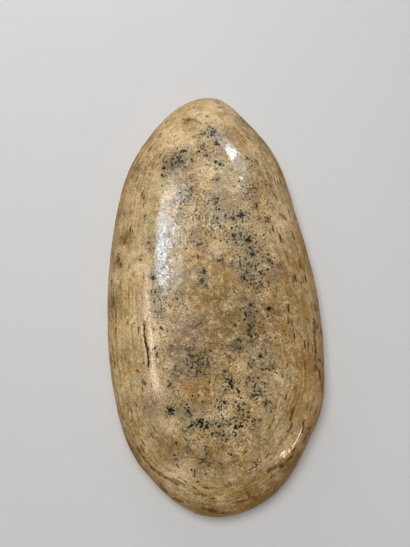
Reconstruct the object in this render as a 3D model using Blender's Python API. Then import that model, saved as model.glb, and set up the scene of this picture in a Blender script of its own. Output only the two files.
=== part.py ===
"""A palm stone: one piece of dendritic limestone, ground to a long domed oval and polished.

Seen from above the edge is a long egg, narrow at +Y and full at -Y. The edge is widest a few
millimetres up, at the girdle. Under the girdle it rounds in to a flat ground base, and over it
a round shoulder and a long flank rise to a nearly flat top. The origin is the middle of the
stone's box, at the height of the base. Lengths below are in millimetres and angles in degrees.
"""

import math

import bmesh
import bpy
import numpy as np

MM = 0.001

# Driving dimensions.
HALF_WIDTH = 23.1
HALF_LENGTH = 46.3
HEIGHT = 16.0
GIRDLE_HEIGHT = 4.0
BASE_INSET = 3.0
EDGE_WIDTH = 3.0
CROWN_RISE = 1.2
FLANK_POWER = 2.2
SPINE_HALF_LENGTH = 23.0

# Places that the girdle passes through, counterclockwise from the +X side.
GIRDLE_PLACES = (
    (22.75, -1.5),
    (20.0, 15.5),
    (16.5, 30.0),
    (10.75, 38.75),
    (4.5, 44.75),
    (-2.5, 44.5),
    (-11.0, 38.0),
    (-17.75, 27.25),
    (-21.0, 14.75),
    (-23.0, -4.25),
    (-22.5, -17.75),
    (-19.75, -30.5),
    (-14.25, -39.0),
    (-6.25, -45.25),
    (4.25, -45.25),
    (11.0, -41.5),
    (18.0, -32.0),
    (22.0, -23.25),
    (22.75, -16.0),
)

# How far in the flank reaches before it has levelled out, and how high the round edge stands
# over the girdle, by the direction round the stone. The full end slopes longest, and the edge
# is ground steeper on the +X side of it.
FLANK_WIDTHS = ((0, 13.0), (90, 13.0), (180, 13.0), (270, 19.0))
EDGE_RISES = ((0, 4.5), (90, 4.5), (180, 4.5), (230, 4.5), (290, 4.5), (320, 6.5), (345, 5.0))

# How finely the surface is faceted.
POINTS_AROUND = 96
RINGS_UNDER = 5
RINGS_OVER = 15
LAST_RING = 0.93

LIMESTONE_COLOUR = (0.39, 0.26, 0.13, 1.0)
LIMESTONE_ROUGHNESS = 0.3


def clear_scene():
    """Removes every object of the startup scene."""
    for obj in list(bpy.data.objects):
        bpy.data.objects.remove(obj)


def around(places, turns):
    """A smooth closed curve through (degrees, value) places, read at each of the turns."""
    degrees, values = np.array(sorted(places), float).T
    degrees = np.concatenate([degrees[-2:] - 360, degrees, degrees[:2] + 360])
    values = np.concatenate([values[-2:], values, values[:2]])
    step = np.diff(degrees)
    slope = np.diff(values) / step
    tangent = (slope[:-1] * step[1:] + slope[1:] * step[:-1]) / (step[:-1] + step[1:])
    turns = np.asarray(turns, float) % 360
    k = np.searchsorted(degrees, turns, side="right") - 1
    width = step[k]
    t = (turns - degrees[k]) / width
    return (
        (2 * t**3 - 3 * t**2 + 1) * values[k]
        + (t**3 - 2 * t**2 + t) * width * tangent[k - 1]
        + (3 * t**2 - 2 * t**3) * values[k + 1]
        + (t**3 - t**2) * width * tangent[k]
    )


def girdle(turns):
    """The girdle's x and y at each turn: an ellipse that swells and shrinks to pass its places."""
    x, y = np.array(GIRDLE_PLACES).T
    place_turns = np.degrees(np.arctan2(y / HALF_LENGTH, x / HALF_WIDTH)) % 360
    swell = around(zip(place_turns, np.hypot(x / HALF_WIDTH, y / HALF_LENGTH)), turns)
    angle = np.radians(turns)
    outline = np.column_stack([HALF_WIDTH * np.cos(angle), HALF_LENGTH * np.sin(angle)])
    outline *= swell[:, None]
    return outline - (outline.min(axis=0) + outline.max(axis=0)) / 2


def toward_spine(outline, turns, share):
    """The outline drawn in by a share of the way to the spine, the dome's straight ridge line."""
    spine = np.column_stack([0 * turns, SPINE_HALF_LENGTH * np.sin(np.radians(turns))])
    return outline + (spine - outline) * np.reshape(share, (-1, 1)), np.linalg.norm(spine - outline, axis=1)


def rings():
    """The stone's horizontal rings from the base to just short of the spine, as x, y and z."""
    turns = np.arange(POINTS_AROUND) * 360 / POINTS_AROUND
    outline = girdle(turns)
    reach = toward_spine(outline, turns, 0)[1]
    made = []
    for lean in np.linspace(0, math.pi / 2, RINGS_UNDER)[:-1]:
        inset = BASE_INSET * (1 - math.sin(lean))
        height = GIRDLE_HEIGHT * (1 - math.cos(lean))
        ring = toward_spine(outline, turns, inset / reach)[0]
        made.append(np.column_stack([ring, np.full(POINTS_AROUND, height)]))
    for step in np.linspace(0, math.sqrt(LAST_RING), RINGS_OVER):
        share = step**2
        ring = toward_spine(outline, turns, share)[0]
        made.append(np.column_stack([ring, dome_height(share * reach, share, turns)]))
    return made


def dome_height(inward, share, turns):
    """Height of the top surface: the round edge, the flank and the low crown, one on another."""
    edge_rise = around(EDGE_RISES, turns)
    flank_rise = HEIGHT - GIRDLE_HEIGHT - CROWN_RISE - edge_rise
    edge_left = 1 - np.clip(inward / EDGE_WIDTH, 0, 1)
    flank_left = 1 - np.clip(inward / around(FLANK_WIDTHS, turns), 0, 1)
    edge = edge_rise * np.sqrt(1 - edge_left**2)
    flank = flank_rise * (1 - flank_left**FLANK_POWER)
    crown = CROWN_RISE * (1 - (1 - share) ** 2)
    return GIRDLE_HEIGHT + edge + flank + crown


def limestone():
    """Polished buff limestone."""
    material = bpy.data.materials.new("polished_limestone")
    material.use_nodes = True
    shader = material.node_tree.nodes["Principled BSDF"]
    shader.inputs["Base Color"].default_value = LIMESTONE_COLOUR
    shader.inputs["Roughness"].default_value = LIMESTONE_ROUGHNESS
    shader.inputs["Metallic"].default_value = 0.0
    material.diffuse_color = LIMESTONE_COLOUR
    return material


def close_top(bm, ring):
    """Fills the last ring with a strip of quads that runs along the spine."""
    half = len(ring) // 2
    quarter = half // 2
    for k in range(-quarter, quarter):
        across = half - k
        corners = [ring[k], ring[k + 1], ring[across - 1], ring[across]]
        bm.faces.new(list(dict.fromkeys(corners)))


def palm_stone():
    """The whole stone as one closed mesh, lofted ring by ring."""
    bm = bmesh.new()
    loops = []
    for ring in rings():
        verts = [bm.verts.new(point * MM) for point in ring]
        edges = [bm.edges.new((verts[k - 1], verts[k])) for k in range(len(verts))]
        loops.append((verts, edges))
    for (_, lower), (_, upper) in zip(loops, loops[1:]):
        bmesh.ops.bridge_loops(bm, edges=lower + upper)
    bm.faces.new(loops[0][0])
    close_top(bm, loops[-1][0])
    bmesh.ops.recalc_face_normals(bm, faces=bm.faces)
    mesh = bpy.data.meshes.new("palm_stone")
    bm.to_mesh(mesh)
    bm.free()
    mesh.materials.append(limestone())
    mesh.shade_smooth()
    stone = bpy.data.objects.new("palm_stone", mesh)
    bpy.context.scene.collection.objects.link(stone)
    return stone


clear_scene()
palm_stone()
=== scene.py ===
"""Looks of a palm stone: one domed oval of dendritic limestone, ground and polished.

The stone is a single piece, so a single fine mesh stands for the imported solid. It repeats the
solid's form at the fineness that a polished surface needs, adds the small relief of the real
surface, and carries as attributes where each tint and each mineral growth lies. Lengths in the
dataclasses are millimetres and angles are degrees, except where a name says otherwise.
"""

import logging
import math
import random
from dataclasses import dataclass, field
from enum import Enum

import bpy
import numpy as np
from mathutils import Euler, Matrix, Vector, kdtree, noise


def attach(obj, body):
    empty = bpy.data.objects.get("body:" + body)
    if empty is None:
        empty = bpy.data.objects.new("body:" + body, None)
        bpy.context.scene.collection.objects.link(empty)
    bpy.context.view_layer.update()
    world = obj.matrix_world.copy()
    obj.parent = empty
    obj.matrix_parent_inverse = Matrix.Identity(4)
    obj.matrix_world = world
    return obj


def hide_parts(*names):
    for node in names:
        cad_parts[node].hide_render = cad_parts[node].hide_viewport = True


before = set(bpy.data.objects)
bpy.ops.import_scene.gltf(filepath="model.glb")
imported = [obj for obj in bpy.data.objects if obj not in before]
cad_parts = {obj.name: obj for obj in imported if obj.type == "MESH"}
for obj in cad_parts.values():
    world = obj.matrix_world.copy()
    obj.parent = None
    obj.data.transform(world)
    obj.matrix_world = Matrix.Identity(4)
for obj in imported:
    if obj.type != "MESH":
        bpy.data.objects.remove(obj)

MM = 0.001
PIECE = "palm_stone_polished"
NODE = "palm_stone"
BODY = "root"
LOG = logging.getLogger("palm_stone")

# The levels that most of a noise node's values lie between, and closer ones round their middle.
# A Map Range node reads its inputs 1 and 2 as the levels it starts from and 3 and 4 as what it gives.
NOISE_SPAN = (0.35, 0.65)
NOISE_MIDDLE = (0.4, 0.6)

# What many nodes do with the two numbers they read.
TIMES = {"operation": "MULTIPLY"}
MINUS = {"operation": "SUBTRACT"}

Array = np.ndarray
Socket = bpy.types.NodeSocket
Tree = bpy.types.NodeTree
Places = tuple[tuple[float, ...], ...]


def linear(colour: str) -> tuple[float, float, float, float]:
    """Turns an sRGB hex colour into the linear colour that Blender's sockets hold.

    Args:
        colour: six hex digits after a #.

    Returns:
        Red, green, blue and an alpha of 1.
    """
    shares = [int(colour[k : k + 2], 16) / 255 for k in (1, 3, 5)]
    red, green, blue = [s / 12.92 if s <= 0.04045 else ((s + 0.055) / 1.055) ** 2.4 for s in shares]
    return red, green, blue, 1.0


def add_node(tree: Tree, kind: str, settings: dict, links: dict | None = None) -> bpy.types.Node:
    """Adds a node, sets it up and wires what it reads.

    Args:
        tree: the node tree to add to.
        kind: the node's Blender type.
        settings: values by the node's own setting, or by an input's name or number.
        links: output sockets by the name or number of the input that reads them.

    Returns:
        The new node.
    """
    node = tree.nodes.new(kind)
    for name, value in settings.items():
        if isinstance(name, int) or name in node.inputs:
            node.inputs[name].default_value = value
        else:
            setattr(node, name, value)
    for name, source in (links or {}).items():
        tree.links.new(source, node.inputs[name])
    return node


def around(places: Places, turns: Array) -> Array:
    """Reads a smooth closed curve through (degrees, value) places.

    Args:
        places: the places that the curve passes through, in any order.
        turns: the directions to read it at, in degrees.

    Returns:
        The curve's value at each turn.
    """
    degrees, values = np.array(sorted(places), float).T
    degrees = np.concatenate([degrees[-2:] - 360, degrees, degrees[:2] + 360])
    values = np.concatenate([values[-2:], values, values[:2]])
    step = np.diff(degrees)
    slope = np.diff(values) / step
    tangent = (slope[:-1] * step[1:] + slope[1:] * step[:-1]) / (step[:-1] + step[1:])
    turns = np.asarray(turns, float) % 360
    k = np.searchsorted(degrees, turns, side="right") - 1
    width = step[k]
    t = (turns - degrees[k]) / width
    return (
        (2 * t**3 - 3 * t**2 + 1) * values[k]
        + (t**3 - 2 * t**2 + t) * width * tangent[k - 1]
        + (3 * t**2 - 2 * t**3) * values[k + 1]
        + (t**3 - t**2) * width * tangent[k]
    )


def roughly(points: Array, grain: tuple[float, float, float], octaves: int = 1) -> Array:
    """Reads Perlin noise at many points.

    Args:
        points: places, one to a row.
        grain: how large the noise's lumps are along X, Y and Z, in the points' own unit.
        octaves: how many layers of ever finer noise are summed.

    Returns:
        A value from about -1 to 1 for each point.
    """
    scaled = points / np.array(grain)
    return np.array([noise.fractal(Vector(p), 1.0, 2.0, octaves) for p in scaled])


def eased(level: Array) -> Array:
    """Holds a level between 0 and 1 and makes it leave and reach them softly."""
    level = np.clip(level, 0, 1)
    return level * level * (3 - 2 * level)


def nearness(points: Array, x: float, y: float, reach: float) -> Array:
    """How near each point is to a place, seen from above.

    Args:
        points: the mesh's points.
        x: the place's x.
        y: the place's y.
        reach: how far off the value has fallen to about a third.

    Returns:
        1 at the place, falling softly to 0.
    """
    return np.exp(-((points[:, 0] - x) ** 2 + (points[:, 1] - y) ** 2) / reach**2)


@dataclass
class StoneForm:
    """The stone's form: the same rings as the solid's, only closer together.

    Attributes:
        half_width: half the width of the ellipse that the outline swells out of and shrinks into.
        half_length: half its length.
        height: how high the top stands over the base.
        girdle_height: how high up the stone is widest, along the girdle.
        base_inset: how far inside the girdle the flat base ends.
        edge_width: how far in the round edge reaches.
        crown_rise: how much the low crown adds towards the middle.
        flank_power: how soon the flank levels out.
        spine_half_length: half the length of the dome's straight ridge line, the spine.
        girdle_places: places that the girdle passes through, counterclockwise from +X.
        flank_widths: how far in the flank has levelled out, by direction.
        edge_rises: how high the round edge stands over the girdle, by direction.
        points_around: how many points a ring has.
        rings_base: how many rings lie on the base.
        rings_under: how many lie from the base's edge to the girdle.
        rings_over: how many lie over it.
        flank_share: how much of the way to the spine the flank's even rings take up.
        flank_rings: how many of the rings over the girdle they are.
        last_share: how much of the way to the spine the last ring has gone.
        profile_steps: how finely the profile is measured to space the rings.
        top_from: how much of the way to the spine the flank's look starts to give way to the top's.
        top_full: how much of the way to the spine it has.
        rim_tops: how high up the edge its iron stain reaches, by direction.
        rim_depths: how deep that stain's tone is, by direction.
        rim_at_base: how much of the tone is left where the edge meets the base.
        polish_from: how high up the polish starts.
        polish_full: how high up it is full.
        turns: the direction of each point of a ring.
        outline: the girdle's x and y at each turn.
        spine: the x and y on the spine that each turn leads to.
        reach: how far it is from the one to the other.
    """

    half_width: float = 23.1
    half_length: float = 46.3
    height: float = 16.0
    girdle_height: float = 4.0
    base_inset: float = 3.0
    edge_width: float = 3.0
    crown_rise: float = 1.2
    flank_power: float = 2.2
    spine_half_length: float = 23.0
    girdle_places: Places = (
        (22.75, -1.5), (20.0, 15.5), (16.5, 30.0), (10.75, 38.75), (4.5, 44.75), (-2.5, 44.5),
        (-11.0, 38.0), (-17.75, 27.25), (-21.0, 14.75), (-23.0, -4.25), (-22.5, -17.75), (-19.75, -30.5),
        (-14.25, -39.0), (-6.25, -45.25), (4.25, -45.25), (11.0, -41.5), (18.0, -32.0), (22.0, -23.25),
        (22.75, -16.0),
    )
    flank_widths: Places = ((0, 13.0), (90, 13.0), (180, 13.0), (270, 19.0))
    edge_rises: Places = ((0, 4.5), (90, 4.5), (180, 4.5), (230, 4.5), (290, 4.5), (320, 6.5), (345, 5.0))
    points_around: int = 600
    rings_base: int = 5
    rings_under: int = 8
    rings_over: int = 150
    flank_share: float = 0.42
    flank_rings: int = 48
    last_share: float = 0.995
    profile_steps: int = 1500
    top_from: float = 0.25
    top_full: float = 0.55
    rim_tops: Places = (
        (0, 10.5), (90, 10.0), (180, 9.5), (225, 10.5), (270, 11.5), (315, 12.5), (340, 12.5),
    )
    rim_depths: Places = (
        (0, 0.55), (45, 0.55), (90, 0.8), (118, 1.0), (145, 0.7), (180, 0.38), (225, 0.85), (270, 1.1),
        (315, 1.2), (340, 1.1),
    )
    rim_at_base: float = 0.4
    polish_from: float = 9.5
    polish_full: float = 13.5
    turns: Array = field(init=False)
    outline: Array = field(init=False)
    spine: Array = field(init=False)
    reach: Array = field(init=False)

    def __post_init__(self) -> None:
        """Works out the outline and the spine once."""
        self.turns = np.arange(self.points_around) * 360 / self.points_around
        self.outline = self._girdle()
        ridge = self.spine_half_length * np.sin(np.radians(self.turns))
        self.spine = np.column_stack([0 * self.turns, ridge])
        self.reach = np.linalg.norm(self.spine - self.outline, axis=1)

    def _girdle(self) -> Array:
        """Draws the girdle, as an ellipse that swells and shrinks to pass its places.

        Returns:
            Its x and y at each turn, round the middle of its own box.
        """
        x, y = np.array(self.girdle_places).T
        place_turns = np.degrees(np.arctan2(y / self.half_length, x / self.half_width)) % 360
        swells = np.hypot(x / self.half_width, y / self.half_length)
        angle = np.radians(self.turns)
        ellipse = np.column_stack([self.half_width * np.cos(angle), self.half_length * np.sin(angle)])
        outline = ellipse * around(tuple(zip(place_turns, swells)), self.turns)[:, None]
        return outline - (outline.min(axis=0) + outline.max(axis=0)) / 2

    def dome_height(self, share: float) -> Array:
        """Works out the top surface's height along one ring.

        Args:
            share: how much of the way from the girdle to the spine the ring has gone.

        Returns:
            The height at each turn.
        """
        inward = share * self.reach
        edge_rise = around(self.edge_rises, self.turns)
        flank_rise = self.height - self.girdle_height - self.crown_rise - edge_rise
        edge_left = 1 - np.clip(inward / self.edge_width, 0, 1)
        flank_left = 1 - np.clip(inward / around(self.flank_widths, self.turns), 0, 1)
        edge = edge_rise * np.sqrt(1 - edge_left**2)
        flank = flank_rise * (1 - flank_left**self.flank_power)
        crown = self.crown_rise * (1 - (1 - share) ** 2)
        return self.girdle_height + edge + flank + crown

    def _ring(self, share: float | Array, height: float | Array) -> Array:
        """One ring of points, a share of the way in to the spine."""
        plan = self.outline + (self.spine - self.outline) * np.reshape(share, (-1, 1))
        return np.column_stack([plan, np.broadcast_to(height, self.points_around)])

    def _over_shares(self) -> Array:
        """Spaces the rings over the girdle evenly on the flank, and closer on the top.

        Returns:
            How much of the way to the spine each ring has gone.
        """
        fine = np.linspace(0, 1, self.profile_steps) ** 2 * self.last_share
        heights = np.array([self.dome_height(share).mean() for share in fine])
        run = np.hypot(np.diff(fine) * self.reach.mean(), np.diff(heights))
        along = np.concatenate([[0], np.cumsum(run)])
        turning = np.interp(self.flank_share, fine, along)
        flank = np.linspace(0, turning, self.flank_rings, endpoint=False)
        top = np.linspace(turning, along[-1], self.rings_over - self.flank_rings)
        return np.interp(np.concatenate([flank, top]), along, fine)

    def rings(self) -> Array:
        """All rings from the middle of the base, round the girdle, to the spine.

        Returns:
            Points in millimetres, as rings by points around by 3.
        """
        made = []
        base_edge = self.base_inset / self.reach
        for share in np.linspace(self.last_share, 0, self.rings_base, endpoint=False):
            made.append(self._ring(base_edge + (self.last_share - base_edge) * share, 0.0))
        for lean in np.linspace(0, math.pi / 2, self.rings_under)[:-1]:
            inset = self.base_inset * (1 - math.sin(lean)) / self.reach
            made.append(self._ring(inset, self.girdle_height * (1 - math.cos(lean))))
        for share in self._over_shares():
            made.append(self._ring(share, self.dome_height(share)))
        return np.array(made)

    def bedding(self, points: Array) -> Array:
        """Finds where each point lies among the beds.

        Args:
            points: the mesh's points.

        Returns:
            The girdle's x and y at the point's turn, and the way up the surface from the girdle.
        """
        rings = points.reshape(-1, self.points_around, 3)
        steps = np.linalg.norm(np.diff(rings, axis=0), axis=2)
        run = np.concatenate([np.zeros((1, self.points_around)), np.cumsum(steps, axis=0)])
        run -= run[self.rings_base + self.rings_under - 1]
        plan = np.broadcast_to(self.outline, (len(rings), self.points_around, 2))
        return np.concatenate([plan, run[:, :, None]], axis=2).reshape(-1, 3)

    def flankness(self) -> Array:
        """Tells the flank from the top and the base.

        Returns:
            1 for the mesh's points on the flank, 0 for those on the top and the base, and shares between.
        """
        base = np.zeros(self.rings_base)
        under = np.linspace(0, 1, self.rings_under)[:-1]
        over = 1 - eased((self._over_shares() - self.top_from) / (self.top_full - self.top_from))
        return np.repeat(np.concatenate([base, under, over]), self.points_around)

    def rimness(self, points: Array) -> Array:
        """Works out how iron-stained the stone's low round edge is.

        Args:
            points: the mesh's points.

        Returns:
            How deep the stain's tone is at each point.
        """
        rings = len(points) // self.points_around
        top = np.tile(around(self.rim_tops, self.turns), rings)
        depth = np.tile(around(self.rim_depths, self.turns), rings)
        under = np.clip(points[:, 2] / self.girdle_height, 0, 1)
        kept = self.rim_at_base + (1 - self.rim_at_base) * under
        return eased((top - points[:, 2]) / (top - self.girdle_height)) * depth * kept

    def polish(self, points: Array) -> Array:
        """How well each point is polished: the low edge was left matt."""
        return eased((points[:, 2] - self.polish_from) / (self.polish_full - self.polish_from))

    def faces(self, ring_count: int) -> list[tuple[int, ...]]:
        """Joins the points up.

        Args:
            ring_count: how many rings of points there are.

        Returns:
            Quads between the rings, and a strip along the spine that closes each end.
        """
        n = self.points_around
        k = np.arange(n)
        quads = []
        for ring in range(ring_count - 1):
            low = ring * n
            high = low + n
            after = (k + 1) % n
            quads += np.column_stack([low + k, low + after, high + after, high + k]).tolist()
        half, quarter = n // 2, n // 4
        for start, upward in ((0, False), ((ring_count - 1) * n, True)):
            for step in range(-quarter, quarter):
                across = half - step
                corners = [step % n, (step + 1) % n, across - 1, across]
                corners = [start + c for c in dict.fromkeys(corners)]
                quads.append(corners if upward else corners[::-1])
        return [tuple(q) for q in quads]


class Tint(Enum):
    """The soft-edged tints that lie in patches on the stone."""

    CREAM = "cream"
    ASH = "ash"
    MAUVE = "mauve"
    OLIVE = "olive"
    RUST = "rust"
    # Lighter buff: partly the stone's own tone, partly painted light on the left flank and the top end, which
    # face the light.
    BUFF_AND_PAINTED_LIGHT = "buff_and_painted_light"
    # Darker brown: partly the stone's own tone, partly painted shade on the right flank and the low end,
    # which are turned from the light.
    UMBER_AND_PAINTED_SHADE = "umber_and_painted_shade"


class Habit(Enum):
    """How a growth of manganese oxide has spread from its seed."""

    STAR = "star"
    ROSETTE = "rosette"
    BLOT = "blot"


@dataclass
class Patches:
    """Where each tint lies.

    Attributes:
        places: places on the stone with how far the patch reaches, by tint.
        smooth: places, with how far they reach, where the bed is so fine that little grain shows.
    """

    places: dict[Tint, Places] = field(
        default_factory=lambda: {
            Tint.CREAM: (
                (2.0, 38.5, 4.5), (-6.5, 34.0, 3.5), (1.5, 25.0, 2.6), (-8.5, 21.0, 2.0),
                (-15.5, 5.5, 1.8), (1.0, 8.0, 1.2), (-12.0, -9.0, 2.4), (15.5, 13.0, 1.8),
                (4.5, -16.0, 1.4), (11.5, -18.5, 1.0), (3.5, -21.5, 1.4), (0.5, -25.5, 1.5),
                (-10.0, -27.0, 1.6), (-9.5, -36.0, 2.2),
            ),
            Tint.ASH: (
                (1.0, 34.0, 2.2), (-6.5, 28.0, 3.5), (9.0, 26.0, 3.2), (-9.0, 22.0, 3.0),
                (1.5, 18.0, 3.2), (-10.0, 12.0, 3.5), (10.5, 12.0, 3.0), (-11.0, 5.0, 3.5),
                (9.0, 4.0, 2.6), (-13.0, -3.0, 2.2), (-14.5, -10.0, 3.0), (-15.0, -17.0, 3.0),
                (9.0, -15.0, 3.0), (9.0, -21.0, 2.6), (8.5, -27.0, 2.6), (-14.0, -25.0, 2.8),
                (-6.0, -25.0, 3.0),
            ),
            Tint.MAUVE: (
                (5.0, 33.5, 1.6), (-5.5, 26.5, 2.6), (13.5, 3.0, 2.0), (6.5, -2.5, 1.7),
                (-4.5, -8.5, 3.6), (-8.0, -12.0, 2.8), (3.5, -12.0, 1.6), (-7.5, -17.0, 2.2),
                (-13.5, -22.5, 2.2), (-7.0, -32.5, 1.6),
            ),
            Tint.OLIVE: (
                (-3.0, 36.5, 1.2), (9.5, 37.5, 1.6), (13.0, 33.0, 1.4), (-17.5, 12.5, 2.0),
                (-19.5, 7.5, 1.5), (-20.5, -1.0, 1.8), (0.0, -2.0, 2.4), (3.0, -7.5, 3.8),
                (8.0, -7.0, 2.6), (21.0, -9.0, 1.3), (4.0, -13.0, 2.4), (-3.5, -15.0, 2.4),
                (-3.5, -21.5, 2.6), (19.5, -18.5, 1.3), (12.0, -35.5, 2.0), (-4.0, -44.5, 2.2),
                (6.5, -44.0, 2.2),
            ),
            Tint.RUST: (
                (-18.5, 25.0, 1.7), (15.0, 0.5, 1.2), (3.5, 2.0, 1.2), (0.5, 4.0, 1.6), (15.5, -8.0, 1.1),
                (9.5, -9.5, 1.3), (19.5, -5.0, 2.4), (20.0, 5.0, 3.0), (20.0, -14.0, 3.0),
                (19.5, -21.0, 3.5), (18.5, -27.0, 3.5), (-14.5, 35.5, 2.0), (-17.0, 31.0, 1.6),
                (-6.0, -19.5, 2.2), (9.5, -27.0, 0.8), (-6.5, -33.0, 1.3), (4.5, -34.5, 1.3),
                (5.5, -42.0, 2.0), (0.5, 43.5, 2.5),
            ),
            # Buff patches: partly painted light, lightening the left flank and the top end where the light
            # falls.
            Tint.BUFF_AND_PAINTED_LIGHT: (
                (3.0, 37.0, 6.0), (-6.0, 34.5, 4.0), (10.5, 30.5, 2.5), (-9.5, 24.5, 3.0),
                (-15.5, 12.5, 2.5), (-16.0, 18.0, 4.5), (-16.5, 9.0, 4.0), (-15.5, 5.0, 3.5),
                (15.5, 15.0, 4.5), (-20.5, 4.0, 3.5), (-21.0, -6.0, 3.5), (21.5, 2.0, 3.5),
                (21.5, -5.0, 3.5), (21.5, -13.0, 3.0), (20.0, -24.0, 3.0), (-15.5, -6.0, 4.0),
                (-13.0, -20.0, 4.0), (-20.0, -18.0, 3.0), (-10.0, -37.0, 4.0),
            ),
            # Umber patches: partly painted shade, darkening the right flank and the low end away from the
            # light.
            Tint.UMBER_AND_PAINTED_SHADE: (
                (-11.0, 36.0, 2.5), (5.0, 29.5, 2.0), (-15.0, 28.0, 3.5), (3.0, 24.0, 2.5),
                (4.5, 18.0, 2.5), (-18.5, 18.5, 2.5), (17.0, 4.0, 4.0), (3.0, 5.0, 3.5), (-3.0, 0.0, 4.0),
                (2.5, -1.0, 4.0), (8.0, 1.0, 4.0), (17.5, -4.0, 4.0), (12.5, -6.0, 4.5), (0.0, -7.0, 5.0),
                (6.0, -5.5, 3.5), (0.5, -12.5, 4.0), (11.0, -13.0, 4.0), (10.0, -18.0, 3.0),
                (-4.5, -18.5, 2.5), (-5.0, -23.0, 3.0), (17.5, -15.0, 3.5), (6.5, -18.5, 4.0),
                (-8.0, -25.0, 4.0), (-10.5, -31.0, 3.5), (-2.0, -34.5, 4.5), (8.0, -31.0, 4.0),
                (-19.0, -33.0, 3.0), (14.5, -25.0, 3.0), (14.0, -36.0, 4.0), (7.0, -43.0, 6.0),
            ),
        }
    )
    smooth: Places = ((3.0, 39.5, 6.0), (-5.5, 36.0, 5.0))

    def strength(self, places: Places, points: Array) -> Array:
        """How much each point lies in patches: where they overlap, the stronger one counts."""
        return np.max([nearness(points, *place) for place in places], axis=0)


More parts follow.
